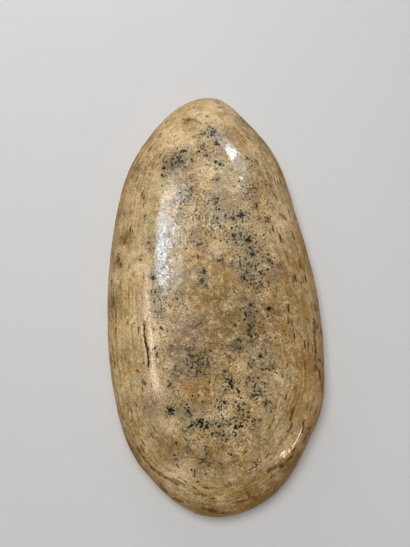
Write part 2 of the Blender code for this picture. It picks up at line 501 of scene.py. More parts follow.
@dataclass
class Growths:
    """Manganese oxide grown along the bed that the top shows: each growth is a few dark beads.

    Attributes:
        seeds: places on the stone with how far each growth reaches, by habit.
        clouds: places round which fine specks gather, with how far they reach.
        haze_depths: how deep the haze round a growth is, by habit.
        haze_reach: how far that haze spreads, in the growth's own reaches.
        growth_crowd: what share of places holds a dot of oxide in the middle of a growth.
        growth_reach: how far those dots spread, in the growth's own reaches.
        cloud_crowd: what share of places holds one in the middle of a cloud.
        star_bare: how much of the dots is missing in the middle of a star.
        star_bare_reach: how far they are missing, in the star's own reaches.
        star_edge: how far out a star is looked for, in its own reaches.
        bead: a bead's radius.
        step: how far apart the beads of a run are.
        bend: how sharply a run bends at each bead, in radians.
        run_beads: the bead's radius in a run, in beads, from the smallest to the largest.
        rosette_runs: how many runs a rosette has to a millimetre of reach, besides its first.
        rosette_lengths: how many beads a rosette's run may have.
        rosette_blacks: how black a rosette's runs are, from the faintest to the blackest.
        blot_least: how many beads the smallest blot has.
        blot_density: how many more it has at a reach of 1 mm: they go with the reach squared.
        blot_spread: how far a blot's beads lie from its middle, in its own reaches.
        blot_beads: the bead's radius in a blot, in beads, from the smallest to the largest.
        specks: how many specks there are.
        speck_spread: how far specks lie from a cloud's middle, in its own reaches.
        speck_lengths: how many beads a speck may have.
        speck_blacks: how black specks are, from the faintest to the blackest.
        chance: where the random draws come from.
    """

    seeds: dict[Habit, Places] = field(
        default_factory=lambda: {
            Habit.STAR: (
                (7.0, 15.0, 1.7), (8.0, 9.5, 1.4), (8.5, 6.5, 1.1), (-12.0, 3.0, 1.2), (11.0, -5.0, 1.2),
                (8.5, -14.5, 1.1), (-10.0, -24.0, 1.5),
            ),
            Habit.BLOT: (
                (3.0, 31.0, 0.4), (-1.0, 29.5, 0.35), (2.5, 27.0, 0.35), (-8.5, 26.5, 0.5),
                (3.5, 26.5, 0.4), (2.5, 23.0, 0.5), (11.5, 3.0, 0.35), (10.0, 2.5, 0.4),
                (-11.0, -7.5, 0.35), (-12.5, -11.5, 0.4), (-12.0, -13.0, 0.5), (2.0, -19.0, 0.8),
                (2.5, -20.0, 0.7), (9.0, -20.0, 0.4), (3.5, -21.0, 0.7), (-6.0, -27.0, 0.6),
                (-4.0, -27.0, 1.2), (-3.0, -27.5, 0.6), (2.5, -28.0, 0.4), (3.5, -28.0, 0.4),
                (13.0, -29.5, 0.35), (-9.5, -30.5, 0.5),
            ),
            Habit.ROSETTE: (
                (4.5, 10.5, 1.1), (-2.5, 9.5, 0.8), (2.0, 6.0, 0.8), (8.5, 4.5, 1.3), (-2.0, 3.5, 1.0),
                (7.5, -4.5, 1.1), (7.5, -8.5, 0.9), (8.0, -10.5, 0.9), (10.5, -17.0, 1.0),
                (7.0, -19.0, 1.0), (6.5, -27.5, 0.9), (-5.0, -15.0, 1.6), (3.0, 32.0, 1.2),
                (-6.0, 27.5, 1.6), (8.0, 8.0, 2.0), (1.5, 34.0, 1.2), (0.5, 33.5, 0.5), (2.5, 33.5, 1.0),
                (0.0, 30.5, 0.6), (-4.5, 29.5, 0.8), (-5.5, 28.5, 0.8), (0.5, 28.5, 0.5),
                (9.5, 27.5, 0.4), (-6.5, 27.0, 0.8), (10.0, 26.0, 0.4), (-8.5, 24.5, 0.4),
                (-3.5, 20.5, 1.0), (9.5, 20.5, 1.3), (8.5, 19.0, 0.8), (-4.5, 18.5, 0.8),
                (2.0, 18.5, 1.0), (10.0, 17.0, 0.7), (2.0, 16.5, 0.7), (-13.0, 16.0, 0.8),
                (4.0, 15.0, 0.6), (1.5, 14.5, 0.8), (5.0, 14.5, 0.6), (12.5, 14.0, 1.1), (2.5, 13.0, 0.7),
                (7.0, 11.5, 0.9), (-12.5, 10.0, 0.8), (-14.5, 7.5, 0.5), (12.0, 5.0, 0.8),
                (4.0, 4.5, 0.5), (6.0, 4.0, 0.7), (6.5, 2.0, 0.8), (8.0, 2.0, 1.4), (-2.0, 1.5, 1.0),
                (9.5, 0.0, 0.9), (-12.0, -0.5, 1.1), (-7.0, -1.0, 0.8), (-12.5, -4.0, 0.5),
                (-11.0, -4.5, 0.8), (6.5, -6.0, 1.1), (11.0, -7.0, 0.7), (9.5, -9.0, 0.8),
                (6.5, -9.5, 0.6), (4.5, -11.0, 0.8), (10.5, -11.0, 0.8), (7.0, -11.5, 0.6),
                (-5.0, -13.0, 1.2), (4.0, -13.0, 0.9), (-4.0, -14.0, 1.2), (-1.5, -15.5, 1.0),
                (6.5, -15.5, 0.8), (-4.5, -16.0, 1.1), (-8.5, -16.5, 1.1), (1.0, -17.5, 0.9),
                (-10.0, -19.0, 0.8), (0.5, -21.0, 0.9), (8.0, -21.5, 0.9), (6.5, -22.0, 0.8),
                (0.0, -23.5, 1.0), (9.0, -23.5, 0.5), (3.5, -24.0, 1.1), (-6.5, -24.5, 1.0),
                (9.5, -24.5, 0.9), (3.0, -26.5, 0.7), (4.5, -26.5, 0.7), (-0.5, -27.0, 1.0),
                (1.0, -27.0, 0.8), (-7.0, -28.0, 0.8), (-2.0, -29.0, 0.5), (-0.5, -29.0, 0.8),
                (2.0, -29.5, 0.7), (0.0, -30.5, 0.4), (-7.0, -31.5, 0.6), (-3.5, -32.0, 0.7),
                (1.5, -33.5, 0.5), (-9.5, -34.0, 0.7), (-4.0, -34.5, 0.8), (6.0, -35.5, 0.5),
                (-6.0, -36.0, 0.5),
            ),
        }
    )
    clouds: Places = (
        (1.0, 32.5, 3.0), (-5.5, 28.5, 3.0), (3.5, 27.0, 3.5), (11.0, 24.0, 3.5), (-4.5, 20.5, 4.0),
        (8.5, 17.5, 4.5), (0.5, 15.0, 4.5), (6.0, 10.5, 4.5), (-3.0, 10.0, 3.5), (8.5, 4.0, 4.0),
        (-11.5, 3.0, 2.6), (8.0, -2.5, 4.0), (-10.0, -1.5, 3.0), (8.5, -9.0, 4.0), (-11.0, -9.0, 2.6),
        (8.5, -15.5, 4.0), (-3.0, -14.5, 3.5), (3.0, -20.0, 3.5), (-9.0, -22.0, 3.0), (-5.0, -26.0, 4.0),
        (3.5, -26.5, 4.5), (-4.0, -33.0, 5.0),
    )
    haze_depths: tuple[tuple[Habit, float], ...] = (
        (Habit.STAR, 0.45),
        (Habit.ROSETTE, 0.55),
        (Habit.BLOT, 0.6),
    )
    haze_reach: float = 1.7
    growth_crowd: float = 0.8
    growth_reach: float = 1.15
    cloud_crowd: float = 0.17
    star_bare: float = 0.9
    star_bare_reach: float = 0.9
    star_edge: float = 1.25
    bead: float = 0.17
    step: float = 0.26
    bend: float = 0.6
    run_beads: tuple[float, float] = (0.7, 1.05)
    rosette_runs: float = 3.0
    rosette_lengths: tuple[int, ...] = (1, 2, 2, 3, 3, 4)
    rosette_blacks: tuple[float, float] = (0.6, 1.0)
    blot_least: float = 3.0
    blot_density: float = 9.0
    blot_spread: float = 0.42
    blot_beads: tuple[float, float] = (0.8, 1.5)
    specks: int = 350
    speck_spread: float = 0.6
    speck_lengths: tuple[int, ...] = (1, 1, 1, 2, 2, 3)
    speck_blacks: tuple[float, float] = (0.35, 0.95)
    chance: random.Random = field(default_factory=lambda: random.Random(39))

    def grow(self) -> list[tuple[float, float, float, float]]:
        """Grows everything but the stars, which the material draws.

        Returns:
            Beads: x, y, radius, and how black it is from 0 to 1.
        """
        beads = []
        for x, y, reach in self.seeds[Habit.ROSETTE]:
            beads += self._rosette(x, y, reach)
        for x, y, reach in self.seeds[Habit.BLOT]:
            beads += self._blot(x, y, reach)
        for _ in range(self.specks):
            beads += self._speck()
        return beads

    def haze(self, points: Array) -> Array:
        """Works out the grey haze round the growths.

        Args:
            points: the mesh's points.

        Returns:
            How strong it is at each point, from 0 to 1.
        """
        clear = np.ones(len(points))
        for habit, depth in self.haze_depths:
            for x, y, reach in self.seeds[habit]:
                clear *= 1 - depth * nearness(points, x, y, reach * self.haze_reach)
        return 1 - clear

    def crowding(self, points: Array) -> Array:
        """Works out how closely dots of oxide lie.

        Args:
            points: the mesh's points.

        Returns:
            What share of places round each point holds a dot, from 0 to 1.
        """
        clear = np.ones(len(points))
        for x, y, reach in self.seeds[Habit.ROSETTE] + self.seeds[Habit.BLOT]:
            clear *= 1 - self.growth_crowd * nearness(points, x, y, reach * self.growth_reach)
        for cloud in self.clouds:
            clear *= 1 - self.cloud_crowd * nearness(points, *cloud)
        crowd = 1 - clear
        for x, y, reach in self.seeds[Habit.STAR]:
            crowd *= 1 - self.star_bare * nearness(points, x, y, reach * self.star_bare_reach)
        return crowd

    def stars(self, points: Array) -> Array:
        """Where each point lies in the nearest star.

        Args:
            points: the mesh's points.

        Returns:
            Two coordinates from the star's middle, in the star's own reaches, and 1 where it's near.
        """
        held = np.zeros((len(points), 3))
        nearest = np.full(len(points), self.star_edge)
        for x, y, reach in self.seeds[Habit.STAR]:
            local = (points[:, :2] - (x, y)) / reach
            away = np.hypot(*local.T)
            near = away < nearest
            held[near, :2] = local[near]
            held[near, 2] = 1.0
            nearest[near] = away[near]
        return held

    def _rosette(self, x: float, y: float, reach: float) -> list:
        """Grows short bent runs of beads, lying anyhow round a centre.

        Args:
            x: the centre's x.
            y: the centre's y.
            reach: how far from it a run may start.

        Returns:
            The beads.
        """
        beads = []
        for _ in range(round(1 + self.rosette_runs * reach)):
            turn = self.chance.uniform(0, math.tau)
            away = reach * math.sqrt(self.chance.random())
            count = self.chance.choice(self.rosette_lengths)
            black = self.chance.uniform(*self.rosette_blacks)
            beads += self._run(x + away * math.cos(turn), y + away * math.sin(turn), count, black)
        return beads

    def _run(self, x: float, y: float, count: int, black: float) -> list:
        """Grows a bent run of beads in any direction.

        Args:
            x: where it starts.
            y: where it starts.
            count: how many beads it has.
            black: how black they are.

        Returns:
            The beads.
        """
        beads = []
        heading = self.chance.uniform(0, math.tau)
        bend = self.chance.gauss(0, self.bend)
        for _ in range(count):
            beads.append((x, y, self.bead * self.chance.uniform(*self.run_beads), black))
            x += self.step * math.cos(heading)
            y += self.step * math.sin(heading)
            heading += bend
        return beads

    def _blot(self, x: float, y: float, reach: float) -> list:
        """Grows beads so close that they run together.

        Args:
            x: the blot's middle.
            y: the blot's middle.
            reach: how far it spreads.

        Returns:
            The beads.
        """
        beads = []
        for _ in range(round(self.blot_least + self.blot_density * reach * reach)):
            at_x = x + self.chance.gauss(0, reach * self.blot_spread)
            at_y = y + self.chance.gauss(0, reach * self.blot_spread)
            beads.append((at_x, at_y, self.bead * self.chance.uniform(*self.blot_beads), 1.0))
        return beads

    def _speck(self) -> list:
        """Grows a short run somewhere in a cloud.

        Returns:
            Its beads.
        """
        x, y, reach = self.chance.choice(self.clouds)
        x += self.chance.gauss(0, reach * self.speck_spread)
        y += self.chance.gauss(0, reach * self.speck_spread)
        count = self.chance.choice(self.speck_lengths)
        return self._run(x, y, count, self.chance.uniform(*self.speck_blacks))


@dataclass
class Streaks:
    """Brown iron-stained streaks, and one open crack lined with black oxide.

    Attributes:
        runs: each streak's half width, its depth of tone, and the places that it passes.
        crack: the places that the crack passes.
        crack_half_width: how wide the oxide in it spreads to each side.
        spacing: how far apart the beads are that a streak is drawn with.
        ragged: how far beads lie off a streak's line, in half widths.
        ragged_along: how much of that also shifts them along the stone.
        widths: a bead's radius in half widths, from the smallest to the largest.
        tones: a bead's depth in the streak's own, from the faintest to the deepest.
        chance: where the random draws come from.
    """

    runs: tuple = (
        (0.2, 1.0, (-14.5, -5.5), (-14.5, -9.0), (-14.0, -11.5), (-14.0, -16.0)),
        (0.3, 1.0, (-15.0, -14.0), (-15.0, -14.5)), (0.3, 0.9, (-16.5, -15.5), (-16.0, -16.0)),
        (0.4, 0.9, (-15.5, -17.5), (-15.0, -18.5)), (0.25, 0.8, (14.5, 20.0), (15.0, 18.5)),
        (0.35, 0.9, (15.5, 15.5), (16.5, 14.5)), (0.3, 0.9, (17.5, 12.0), (18.0, 10.0)),
        (0.25, 0.5, (18.0, 9.5), (18.5, 6.5)), (0.25, 0.7, (13.0, 18.5), (12.5, 17.0)),
        (0.3, 0.4, (16.5, 1.0), (17.0, -0.5)), (0.3, 0.7, (18.5, 5.5), (19.0, 3.5)),
        (0.25, 0.5, (19.0, 2.0), (19.0, 0.5)), (0.5, 0.7, (21.0, -4.0), (21.5, -5.0)),
        (0.5, 0.8, (20.5, -7.0), (21.0, -9.0)), (0.3, 0.6, (19.0, -7.0), (19.5, -8.0)),
        (0.22, 0.8, (19.0, -10.0), (18.5, -13.5)),
        (0.35, 0.8, (20.4, -9.5), (20.3, -14.0), (19.7, -18.0)),
        (0.45, 0.8, (20.6, -15.6), (21.4, -15.8)), (0.4, 0.8, (20.2, -17.0), (20.8, -18.0)),
        (0.3, 0.6, (21.0, -19.0), (21.0, -22.0)), (0.25, 1.0, (14.5, -25.0), (13.5, -27.5)),
        (0.22, 1.0, (16.5, -27.5), (16.0, -30.0)), (0.6, 0.8, (17.8, -29.0), (17.5, -30.5)),
        (0.5, 0.7, (16.8, -31.0), (16.0, -32.0)), (0.4, 0.9, (13.6, -34.6), (12.4, -35.2)),
        (0.45, 0.9, (11.5, -36.2), (10.4, -36.4)), (0.6, 0.9, (9.6, -36.6), (8.8, -37.0)),
        (0.4, 0.6, (1.2, -42.8), (3.5, -42.5)), (0.7, 0.5, (4.7, -41.9), (6.1, -42.6)),
        (0.4, 0.7, (-10.6, -37.3), (-8.5, -38.6)), (0.5, 0.6, (-13.5, -38.5), (-12.0, -40.0)),
        (0.5, 0.6, (-10.5, -41.2), (-9.0, -42.0)), (0.5, 0.6, (-19.8, -29.0), (-18.5, -32.0)),
        (0.5, 0.8, (-3.4, 37.9), (-1.8, 37.2)), (0.4, 0.6, (-1.8, 37.2), (-0.6, 36.3)),
        (0.15, 0.7, (-2.0, 26.0), (0.5, 26.5)),
        (0.15, 0.9, (-5.5, 15.0), (-3.5, 15.5), (-2.5, 16.5), (-2.0, 19.0)),
        (0.18, 0.7, (-0.5, 15.5), (-0.5, 14.0)), (0.2, 0.6, (0.0, 7.5), (0.5, 6.5)),
        (0.2, 0.6, (-7.5, -2.5), (-5.5, -3.5)), (0.2, 0.8, (-4.5, -8.0), (-3.0, -7.0)),
        (0.22, 0.9, (1.5, -13.5), (2.5, -14.5)), (0.15, 0.6, (-3.5, -17.5), (-1.5, -17.5)),
        (0.2, 0.7, (2.0, -39.0), (3.5, -39.0)), (0.25, 0.6, (-16.0, 18.5), (-16.5, 17.0)),
        (0.15, 0.8, (-14.0, 4.5), (-14.0, 3.0)), (0.5, 0.8, (-19.6, 9.5), (-19.3, 8.0)),
        (0.35, 0.8, (-18.9, 7.5), (-18.8, 6.5)), (0.35, 0.6, (-21.0, 4.5), (-21.3, 3.0)),
        (0.4, 0.5, (-21.0, 1.5), (-21.0, -1.5)), (0.3, 0.5, (-18.8, 3.5), (-19.2, 2.0)),
        (0.3, 0.6, (-21.5, 4.5), (-21.0, 3.5)), (0.3, 0.6, (-21.5, 2.0), (-21.5, 0.0)),
        (0.4, 0.5, (-20.5, -2.5), (-20.5, -5.0)),
        (0.3, 1.0, (-16.5, -32.5), (-15.0, -34.5), (-14.0, -35.6)),
        (0.28, 0.9, (-14.0, -35.6), (-12.0, -37.0), (-9.5, -38.5)),
        (0.6, 0.7, (4.0, -41.0), (4.5, -42.0)), (0.5, 0.7, (-5.0, -43.5), (-3.5, -44.0), (-1.0, -45.0)),
        (0.4, 0.6, (4.0, 40.5), (4.5, 40.5)), (0.3, 0.6, (7.5, 38.5), (8.5, 38.5)),
        (0.5, 0.5, (-9.0, 35.5), (-9.5, 34.5)), (0.3, 0.7, (11.5, 27.5), (11.5, 26.5)),
    )
    crack: Places = ((-14.5, -6.5), (-14.5, -9.0), (-14.0, -11.5), (-14.0, -13.5), (-14.0, -15.0))
    crack_half_width: float = 0.25
    spacing: float = 0.15
    ragged: float = 0.35
    ragged_along: float = 0.4
    widths: tuple[float, float] = (0.5, 1.1)
    tones: tuple[float, float] = (0.6, 1.0)
    chance: random.Random = field(default_factory=lambda: random.Random(7))

    def crack_beads(self) -> list[tuple[float, float, float, float]]:
        """Black beads of oxide along the crack: x, y, radius and depth of tone."""
        return self._run(self.crack, self.crack_half_width, 1.0)

    def beads(self) -> list[tuple[float, float, float, float]]:
        """Draws the streaks as close beads, uneven in width and tone.

        Returns:
            Beads: x, y, radius and depth of tone.
        """
        made = []
        for half_width, tone, *places in self.runs:
            made += self._run(places, half_width, tone)
        return made

    def _run(self, places: Places, half_width: float, tone: float) -> list:
        """Draws one streak.

        Args:
            places: the places that it passes.
            half_width: how wide it is to each side.
            tone: its depth of tone.

        Returns:
            Its beads.
        """
        made = []
        for start, end in zip(places, places[1:]):
            start, end = Vector(start), Vector(end)
            count = max(2, round((end - start).length / self.spacing))
            for step in range(count + 1):
                at = start.lerp(end, step / count)
                off = self.chance.gauss(0, half_width * self.ragged)
                radius = half_width * self.chance.uniform(*self.widths)
                depth = tone * self.chance.uniform(*self.tones)
                made.append((at.x + off, at.y + off * self.ragged_along, radius, depth))
        return made


@dataclass
class Relief:
    """The small relief of a hand-ground, polished surface.

    Attributes:
        waviness: how far the grinding wanders from the smooth form.
        waviness_grain: how wide those waves are.
        bed_step: how far harder beds stand out of the flanks.
        bed_grain: how long, wide and thick the beds are.
        pit_depth: how deep the broad shallow pits are.
        pit_grain: how wide they are.
        crack_depth: how deep the crack is.
        crack_width: how far from its middle its depth has fallen to about a third.
        crack_wander: waves that the crack strays by: how far, and at how many radians a millimetre.
        swells: places that stand out a little: x, y, reach, how much longer than wide, and height.
        edge_wave: how far the outline wanders.
        edge_grain: how wide those waves are.
        edge_from: how steep the surface is where they start to show: 0 is level and 1 upright.
        base_facing: the normal's z under which a point belongs to the flat base.
    """

    waviness: float = 0.03
    waviness_grain: float = 7.0
    bed_step: float = 0.035
    bed_grain: tuple[float, float, float] = (9.0, 9.0, 0.5)
    pit_depth: float = 0.012
    pit_grain: float = 0.9
    crack_depth: float = 0.12
    crack_width: float = 0.22
    crack_wander: Places = ((0.12, 3.1), (0.08, 7.3))
    swells: Places = ((6.7, 30.0, 2.7, 1.6, 0.11),)
    edge_wave: float = 0.1
    edge_grain: float = 2.5
    edge_from: float = 0.5
    base_facing: float = -0.98

    def depth(self, points: Array, normals: Array, crack: Places) -> Array:
        """How far each point stands out of the smooth form.

        Args:
            points: places on the smooth form.
            normals: which way the surface faces there.
            crack: places along the crack in the left shoulder.

        Returns:
            Millimetres along the normal, negative inward.
        """
        steep = 1 - np.clip(normals[:, 2], 0, 1)
        wave = roughly(points, (self.waviness_grain,) * 3, 2) * self.waviness
        beds = roughly(points, self.bed_grain, 2) * self.bed_step * steep
        pits = roughly(points, (self.pit_grain,) * 3, 2) * self.pit_depth
        edge = roughly(points, (self.edge_grain,) * 3) * self.edge_wave
        edge *= np.clip((steep - self.edge_from) / (1 - self.edge_from), 0, 1)
        depth = wave + beds + pits + edge - self.crack_depth * self.in_crack(points, crack)
        for x, y, reach, stretch, rise in self.swells:
            depth += rise * nearness(points / (1, stretch, 1), x, y / stretch, reach)
        return np.where(normals[:, 2] < self.base_facing, 0, depth)

    def in_crack(self, points: Array, crack: Places) -> Array:
        """Finds the points that lie in the crack.

        Args:
            points: the mesh's points.
            crack: places along the crack.

        Returns:
            How much of the crack's depth is reached at each point, from 0 to 1.
        """
        places = np.array(crack)
        nearest = np.full(len(points), np.inf)
        wander = sum(far * np.sin(points[:, 1] * swing) for far, swing in self.crack_wander)
        for start, end in zip(places, places[1:]):
            run = end - start
            along = np.clip(((points[:, :2] - start) @ run) / (run @ run), 0, 1)
            away = points[:, :2] - start - along[:, None] * run
            away[:, 0] += wander
            nearest = np.minimum(nearest, np.hypot(*away.T))
        return np.exp(-((nearest / self.crack_width) ** 2))


@dataclass(frozen=True)
class Tone:
    """One tone of the ground, laid in blotches of noise over the tones before it.

    Attributes:
        colour: its sRGB colour.
        size: how wide its blotches are, in millimetres.
        starts: the level of the noise at which it starts to show.
        fills: the level at which it shows most.
        strength: how much of it shows at most.
        detail: how many layers of ever finer noise break up the blotches.
        roughness: how much each finer layer adds.
        apart: how far one tone's noise lies from the next one's, along a fourth side of the noise.
    """

    colour: str
    size: float
    starts: float
    fills: float
    strength: float
    detail: float = 5.0
    roughness: float = 0.62
    apart: float = 3.7


@dataclass(frozen=True)
class Wash:
    """A thin tint over the ground, its edges broken by noise.

    Attributes:
        mark: the attribute with how strong it is.
        colour: its sRGB colour.
        most: how much of it shows where the noise is high. More than 1 widens its full patches.
        least: how much of it shows where the noise is low.
        size: how wide the noise's lumps are, in millimetres.
        levels: the levels of the noise that count as low and as high.
        detail: how many layers of ever finer noise there are.
        roughness: how much each finer layer adds.
    """

    mark: str
    colour: str
    most: float
    least: float = 0.1
    size: float = 1.6
    levels: tuple[float, float] = NOISE_MIDDLE
    detail: float = 6.0
    roughness: float = 0.72


@dataclass(frozen=True)
class Dots:
    """Small marks, at most one to a cell.

    Attributes:
        crowd: the attribute with what share of the cells holds a mark.
        colour: their sRGB colour.
        cell: the size of a cell along x, y and z, in millimetres.
        smallest: the smallest mark's radius, as a share of a cell.
        largest: the largest mark's.
        faintest: the faintest mark's strength.
        bends: how many times the noise that bends the marks swings in a cell.
        bend: how far it bends them, as a share of a cell.
        edge: half the width of a mark's soft edge, as a share of a cell.
        doubt: how far the crowd has to pass a cell's own number before its mark is full.
    """

    crowd: str
    colour: str
    cell: tuple[float, float, float]
    smallest: float
    largest: float
    faintest: float
    bends: float = 1.6
    bend: float = 0.6
    edge: float = 0.06
    doubt: float = 0.02


@dataclass(frozen=True)
class Stars:
    """Bent, beaded arms of uneven length round a middle, measured in the star's own reach.

    Attributes:
        colour: their sRGB colour.
        arms: how many arms a star has.
        wander: how wide the noise is that bends and shortens the arms, in millimetres.
        bend: how far it bends them, in radians.
        widths: half an arm's width at the middle, and one reach out.
        beading: how much of that width is left between beads and on them.
        lengths: the shortest and the longest arm.
        edge: where across an arm's edge its tone starts, and where it is full.
        tip: how far from its end an arm starts to fade.
        near: how fully a point has to lie in a star before one is drawn there.
    """

    colour: str = "#15110B"
    arms: int = 7
    wander: float = 1.1
    bend: float = 2.4
    widths: tuple[float, float] = (0.42, 0.16)
    beading: tuple[float, float] = (0.55, 1.3)
    lengths: tuple[float, float] = (0.7, 1.25)
    edge: tuple[float, float] = (-0.05, 0.08)
    tip: float = 0.08
    near: float = 0.98


@dataclass(frozen=True)
class PolishedLimestone:
    """Dendritic limestone, cut, ground and polished.

    Lime mud laid down in thin beds: the flanks cut through them as brown streaks that follow the
    outline, and the top shows one bed broadly, as soft blotches. Manganese oxide has grown along
    the beds in black stars, each a few beaded arms, with grey haze round them. The stone itself is
    matt, and what shines is the skin that polishing closed over it, broken by pits too fine to see
    one by one. So the polish is a coat on a rough body, and the coat is gone where it is worn.

    Attributes:
        ground: the tone that lies under all the others.
        tones: the tones of one bed seen broadly, from wide blotches to fine ones.
        bed_tones: the tones of the beds that the flanks cut through.
        bed_length: how long a bed's tone holds round the stone, before its own size counts.
        bed_thickness: how thick a bed is, before its own size counts.
        washes: the tints, each where its patches lie, and the iron stain of the low edge. The buff
        and umber tints are partly painted light and shade.
        haze: the grey haze round the growths.
        specks: brown specks of iron oxide.
        dashes: brown dashes that lie along the beds, where the flanks cut through stained pores.
        dust: the finest manganese oxide round the growths.
        oxide: the dots of it that show one by one.
        stars: the growths that have spread into stars.
        streak: the iron oxide in the streaks.
        manganese: the oxide of the beaded growths and of the crack.
        bead_ragged: how far noise shifts the edge of a bead.
        bead_edge: where across its edge a bead's tone starts, and where it is full.
        grain_size: how wide the sandy grain is. The real grains are about 0.1 mm across, too fine
            to show, so they are drawn three times as coarse.
        grain_swing: how much darker and lighter than the ground a grain is.
        ior: how strongly the stone and its polish bend light. Calcite has 1.49 to 1.66.
        body_gloss: how much of the body's own reflection is left. Rough stone has next to none.
        body_roughness: how rough the body is.
        polish_roughness: how rough the polish is.
        pit_size: how far apart the pits of the polish lie. The real ones are some hundredths of a
            millimetre wide, too fine to show, so they are drawn several times as coarse.
        pit_levels: how far the noise is from its middle at a pit's rim and in its full depth.
        pit_depth: how deep the pits are.
        pit_gloss: how much of the polish is left in a pit.
        ripple: how high the polish's faint ripple is, in pit depths.
        ripple_size: how wide it is.
    """

    ground: str = "#BB965C"
    tones: tuple[Tone, ...] = (
        Tone("#DEC294", 4.0, 0.44, 0.58, 0.85),
        Tone("#C39A58", 5.0, 0.51, 0.61, 0.5),
        Tone("#95886B", 3.0, 0.50, 0.60, 0.55),
        Tone("#8C7543", 2.2, 0.55, 0.64, 0.5),
        Tone("#EBD5A5", 1.3, 0.55, 0.60, 0.6),
        Tone("#7D6843", 0.9, 0.53, 0.58, 0.6),
        Tone("#E8CD9A", 0.6, 0.56, 0.61, 0.6),
        Tone("#6E593A", 0.45, 0.57, 0.61, 0.6),
    )
    bed_tones: tuple[Tone, ...] = (
        Tone("#8E652B", 1.0, 0.50, 0.62, 0.65),
        Tone("#E6C896", 1.3, 0.52, 0.62, 0.5),
        Tone("#734E1C", 0.6, 0.57, 0.62, 0.55),
    )
    bed_length: float = 9.0
    bed_thickness: float = 0.45
    washes: tuple[Wash, ...] = (
        # The buff wash is partly painted light and the umber wash partly painted shade; the others are the
        # stone's own tints.
        Wash(Tint.BUFF_AND_PAINTED_LIGHT.value, "#E6C998", 0.95),
        Wash(Tint.UMBER_AND_PAINTED_SHADE.value, "#7C5E30", 0.855),
        Wash(Tint.ASH.value, "#B5A886", 0.76),
        Wash(Tint.CREAM.value, "#E6CB9C", 1.33),
        Wash(Tint.MAUVE.value, "#836A56", 1.425),
        Wash(Tint.OLIVE.value, "#7D6634", 1.33),
        Wash(Tint.RUST.value, "#B07C36", 0.684),
        Wash("rim", "#CA8F42", 0.988),
    )
    haze: Wash = Wash("haze", "#77705F", 0.9, size=0.9, levels=NOISE_SPAN, detail=4.0, roughness=0.7)
    specks: Dots = Dots("specks", "#5A421F", (0.9, 0.9, 0.9), 0.12, 0.3, 0.4)
    dashes: Dots = Dots("dashes", "#5B3A14", (2.6, 2.6, 0.6), 0.18, 0.46, 0.4)
    dust: Dots = Dots("dots", "#2A2216", (0.36, 0.36, 0.36), 0.25, 0.55, 0.4)
    oxide: Dots = Dots("dots", "#15100A", (0.6, 0.6, 0.6), 0.2, 0.5, 0.5)
    stars: Stars = Stars()
    streak: str = "#482B0D"
    manganese: str = "#15110B"
    bead_ragged: float = 0.12
    bead_edge: tuple[float, float] = (-0.06, 0.04)
    grain_size: float = 0.3
    grain_swing: tuple[float, float] = (-0.42, 0.4)
    ior: float = 1.5
    body_gloss: float = 0.03
    body_roughness: float = 0.7
    polish_roughness: float = 0.12
    pit_size: float = 0.32
    pit_levels: tuple[float, float] = (0.065, 0.025)
    pit_depth: float = 0.004
    pit_gloss: float = 0.06
    ripple: float = 0.5
    ripple_size: float = 0.4

    def material(self) -> bpy.types.Material:
        """Builds the stone's material.

        Returns:
            The material, which reads the attributes that the stone's mesh carries.
        """
        made = bpy.data.materials.new("polished_dendritic_limestone")
        made.use_nodes = True
        tree = made.node_tree
        shader = tree.nodes["Principled BSDF"]
        for name, value in (
            ("IOR", self.ior),
            ("Specular IOR Level", self.body_gloss),
            ("Roughness", self.body_roughness),
            ("Coat IOR", self.ior),
            ("Coat Roughness", self.polish_roughness),
        ):
            shader.inputs[name].default_value = value
        here = add_node(tree, "ShaderNodeTexCoord", {}).outputs["Object"]
        millimetres = {"operation": "SCALE", "Scale": 1 / MM}
        place = add_node(tree, "ShaderNodeVectorMath", millimetres, {0: here}).outputs[0]
        bed = add_node(tree, "ShaderNodeAttribute", {"attribute_name": "bed"}).outputs["Vector"]
        beds = (1 / self.bed_length, 1 / self.bed_length, 1 / self.bed_thickness)
        flat = add_node(tree, "ShaderNodeVectorMath", {"operation": "MULTIPLY", 1: beds}, {0: bed}).outputs[0]
        flank = add_node(tree, "ShaderNodeAttribute", {"attribute_name": "flank"}).outputs["Fac"]
        sand = {"Scale": 1 / self.grain_size, "Detail": 2.0, "Roughness": 0.6}
        grain = add_node(tree, "ShaderNodeTexNoise", sand, {"Vector": place}).outputs[0]
        layers = [(tone.colour, self._blotchy(tree, place, tone, k)) for k, tone in enumerate(self.tones)]
        for k, tone in enumerate(self.bed_tones):
            layers.append((tone.colour, self._blotchy(tree, flat, tone, k, flank)))
        layers += [(wash.colour, self._washed(tree, place, wash)) for wash in self.washes]
        colour = self._grained(tree, self._laid(tree, layers), grain)
        marks = [
            (self.haze.colour, self._washed(tree, place, self.haze)),
            (self.specks.colour, self._dotted(tree, place, self.specks)),
            (self.dashes.colour, self._dotted(tree, bed, self.dashes)),
            (self.dust.colour, self._dotted(tree, place, self.dust)),
            (self.oxide.colour, self._dotted(tree, place, self.oxide)),
            (self.streak, self._beaded(tree, grain, "stain")),
            (self.manganese, self._beaded(tree, grain, "ink")),
            (self.stars.colour, self._starred(tree, place, grain)),
        ]
        tree.links.new(self._laid(tree, marks, colour), shader.inputs["Base Color"])
        pits = self._pits(tree, place)
        tree.links.new(self._gloss(tree, pits), shader.inputs["Coat Weight"])
        tree.links.new(self._pitted(tree, place, pits), shader.inputs["Coat Normal"])
        return made

    def _laid(self, tree: Tree, layers: list[tuple[str, Socket]], colour: Socket | None = None) -> Socket:
        """Lays colours one over another.

        Args:
            tree: the material's nodes.
            layers: sRGB colours with how much of each shows.
            colour: what they are laid on, if it isn't the plain ground.

        Returns:
            The colour with all of them on it.
        """
        for shade, share in layers:
            settings = {"data_type": "RGBA", 6: linear(self.ground), 7: linear(shade)}
            links = {0: share, 6: colour} if colour else {0: share}
            colour = add_node(tree, "ShaderNodeMix", settings, links).outputs[2]
        return colour

